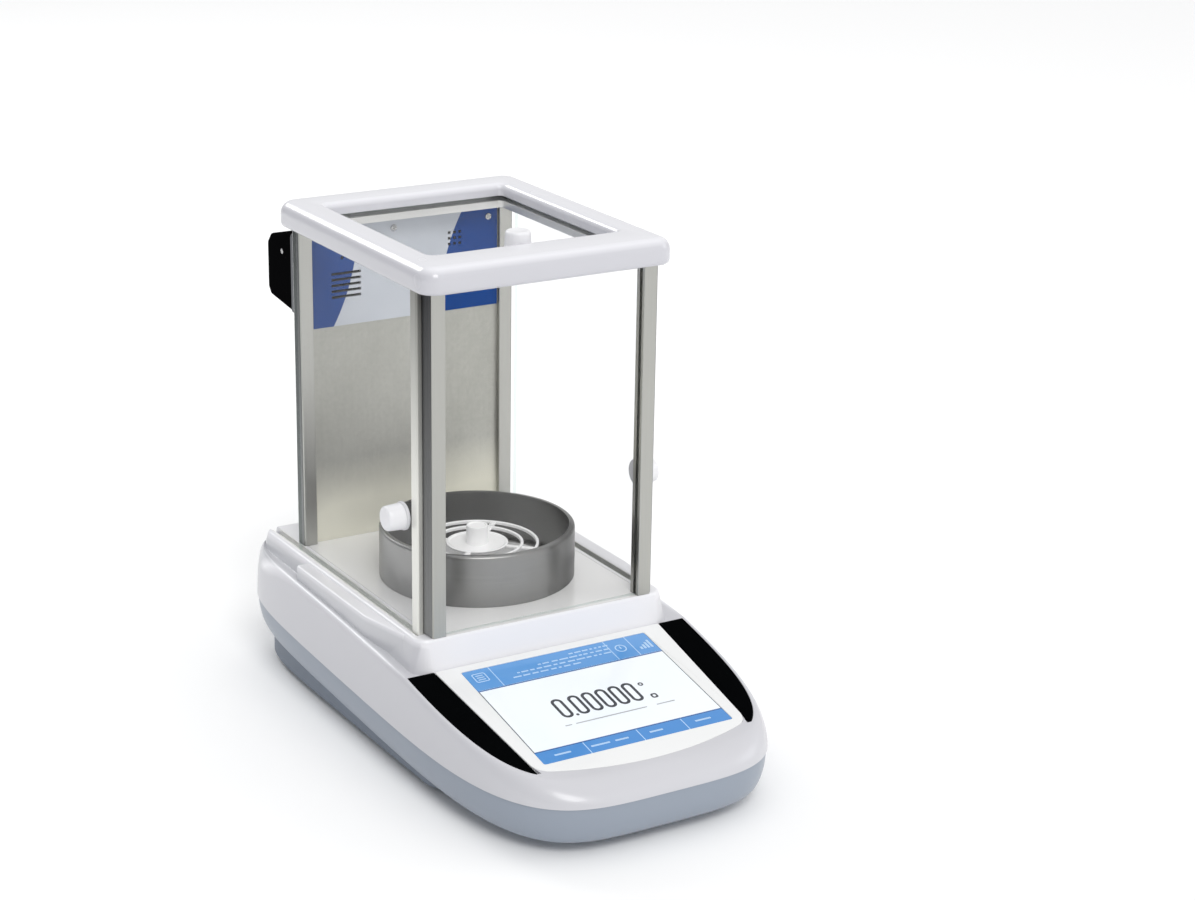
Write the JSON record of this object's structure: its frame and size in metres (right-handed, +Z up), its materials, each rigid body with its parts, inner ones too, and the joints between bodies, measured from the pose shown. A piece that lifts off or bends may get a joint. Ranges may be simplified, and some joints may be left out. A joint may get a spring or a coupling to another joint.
{
  "type": "semi-micro balance",
  "caption": "Semi-micro laboratory balance: sloped touch panel, glass draft shield with sliding side and top doors, wind ring and open weighing pan, levelling feet.",
  "frame": {"origin": "on the bench under the centre of the base's outline", "axes": "+X to the operator's right, +Y from the operator to the rear, +Z up"},
  "size_m": [0.228, 0.426, 0.354],
  "materials": {
    "shell_upper": "satin light grey",
    "shell_lower": "satin blue grey",
    "casting": "painted blue grey",
    "bezel": "gloss white",
    "screen": "lit touch screen",
    "insert": "gloss black",
    "module": "dark",
    "board": "green circuit board",
    "alloy": "machined",
    "magnet": "plain",
    "coil": "enamelled winding",
    "steel": "brushed",
    "post": "anodised",
    "rubber": "matte",
    "wall": "fine brushed",
    "vent_blue": "blue and pale grey",
    "housing": "black",
    "flange": "dark grey",
    "frame_white": "satin white",
    "pane": "clear",
    "knob_white": "white",
    "port_black": "black",
    "vial": "clear tinted"
  },
  "bodies": {
    "base": {"base_casting": "casting", "lower_shell": "shell_lower", "upper_shell": "shell_upper", "screen_bezel": "bezel", "touch_screen": "screen", "display_panel": "module", "display_board": "board", "panel_insert_left": "insert", "panel_insert_right": "insert", "sensor_boards": "board", "main_board": "board", "weigh_cell": "alloy", "magnet_pot": "magnet", "calibration_motor": "module", "front_feet": "rubber", "level_holder": "port_black", "level_vial": "vial", "port_plate": "module", "power_jack": "port_black", "data_port": "steel", "usb_port": "steel", "casing_screws": "steel", "floor_plate": "steel", "door_track_left": "post", "door_track_right": "post", "post_front_left": "post", "post_front_right": "post", "post_rear_left": "post", "post_rear_right": "post", "top_rails": "post", "top_frame": "frame_white", "rear_wall": "wall", "vent_panel": "vent_blue", "vent_panel_screws": "steel", "housing_flange": "flange", "vent_housing": "housing", "front_glass": "pane"},
    "left_door": {"door_glass_left": "pane", "door_rail_left": "post", "door_knob_left": "knob_white"},
    "right_door": {"door_glass_right": "pane", "door_rail_right": "post", "door_knob_right": "knob_white"},
    "top_door": {"top_glass": "pane", "top_knob": "knob_white"},
    "hanger": {"load_hanger": "steel"},
    "lever": {"balance_lever": "alloy", "force_coil": "coil"},
    "pan": {"weighing_pan": "steel"},
    "ring": {"wind_ring": "steel"},
    "lifter": {"calibration_lifter": "coil", "calibration_weight": "steel"},
    "left_foot": {"level_pad_left": "rubber"},
    "right_foot": {"level_pad_right": "rubber"},
    "left_screw": {"level_screw_left": "steel"},
    "right_screw": {"level_screw_right": "steel"}
  },
  "joints": [
    {"name": "left_door_slide", "type": "slide", "parent": "base", "child": "left_door", "axis": [0, 1, 0], "range_m": [0, 0.15]},
    {"name": "right_door_slide", "type": "slide", "parent": "base", "child": "right_door", "axis": [0, 1, 0], "range_m": [0, 0.15]},
    {"name": "top_door_slide", "type": "slide", "parent": "base", "child": "top_door", "axis": [0, 1, 0], "range_m": [0, 0.135]},
    {"name": "hanger_travel", "type": "slide", "parent": "base", "child": "hanger", "axis": [0, 0, 1], "range_m": [-0.0004, 0], "stiffness_N_per_m": 4000, "springref_m": 0.001},
    {"name": "lever_tilt", "type": "hinge", "parent": "base", "child": "lever", "pos_m": [0, 0.055, 0.0468], "axis": [1, 0, 0], "range_deg": [0, 2.3]},
    {"name": "pan_lift", "type": "slide", "parent": "hanger", "child": "pan", "axis": [0, 0, 1], "range_m": [0, 0.06]},
    {"name": "wind_ring_lift", "type": "slide", "parent": "base", "child": "ring", "axis": [0, 0, 1], "range_m": [0, 0.06]},
    {"name": "calibration_lift", "type": "slide", "parent": "base", "child": "lifter", "axis": [0, 0, 1], "range_m": [0, 0.005]},
    {"name": "left_foot_slide", "type": "slide", "parent": "base", "child": "left_foot", "axis": [0, 0, -1], "range_m": [0, 0.008]},
    {"name": "left_screw_turn", "type": "hinge", "parent": "left_foot", "child": "left_screw", "pos_m": [-0.07, 0.179, 0.01], "axis": [0, 0, 1], "range_deg": [0, 2300]},
    {"name": "right_foot_slide", "type": "slide", "parent": "base", "child": "right_foot", "axis": [0, 0, -1], "range_m": [0, 0.008]},
    {"name": "right_screw_turn", "type": "hinge", "parent": "right_foot", "child": "right_screw", "pos_m": [0.07, 0.179, 0.01], "axis": [0, 0, 1], "range_deg": [0, 2300]}
  ],
  "couplings": [
    {"joint": "lever_tilt", "follows": "hanger_travel", "rad_per_m": -100},
    {"joint": "left_foot_slide", "follows": "left_screw_turn", "m_per_rad": 0.00019894},
    {"joint": "right_foot_slide", "follows": "right_screw_turn", "m_per_rad": 0.00019894}
  ]
}
